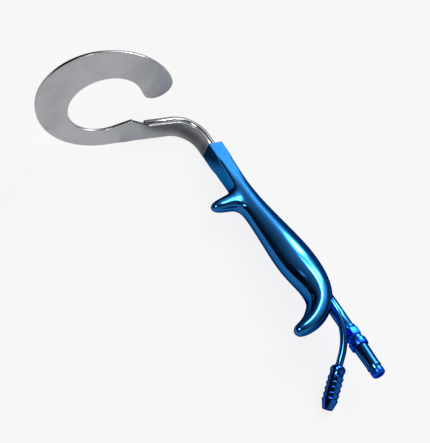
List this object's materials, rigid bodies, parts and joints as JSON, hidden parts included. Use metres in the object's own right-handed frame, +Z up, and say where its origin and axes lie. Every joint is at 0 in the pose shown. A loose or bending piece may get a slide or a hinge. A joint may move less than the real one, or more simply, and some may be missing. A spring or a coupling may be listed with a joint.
{
  "type": "handheld surgical retractor",
  "caption": "Hand retractor with an open C-shaped ring blade, a coated finger-hook handle, a light guide with its post and a suction tube with a hose barb.",
  "frame": {"origin": "middle of the bounding box on the surface it lies on", "axes": "+Z up from the surface; +X along the handle from the blade towards the light post; -Y the side of the blade and the finger hook"},
  "size_m": [0.2276, 0.1252, 0.0837],
  "materials": {
    "blade_steel": "satin, glass-bead blasted, with polished edges",
    "tube_steel": "polished",
    "handle_blue": "high gloss translucent blue coating over steel",
    "fitting_blue": "high gloss blue coating over steel",
    "barb_blue": "high gloss blue coating over steel",
    "ferrule_steel": "machined",
    "fibre_glass": "polished ends of a packed fibre bundle"
  },
  "bodies": {
    "root": {"blade": "blade_steel", "light_guide_tube": "tube_steel", "suction_tube": "tube_steel", "handle": "handle_blue", "light_post_sleeve": "fitting_blue", "sleeve_ring": "fitting_blue", "lock_nut": "fitting_blue", "post_collar": "fitting_blue", "light_post_barrel": "fitting_blue", "light_post_cap": "fitting_blue", "suction_outlet_tube": "handle_blue", "hose_barb": "barb_blue", "inlet_ferrule": "ferrule_steel", "fibre_bundle": "fibre_glass"}
  },
  "joints": []
}
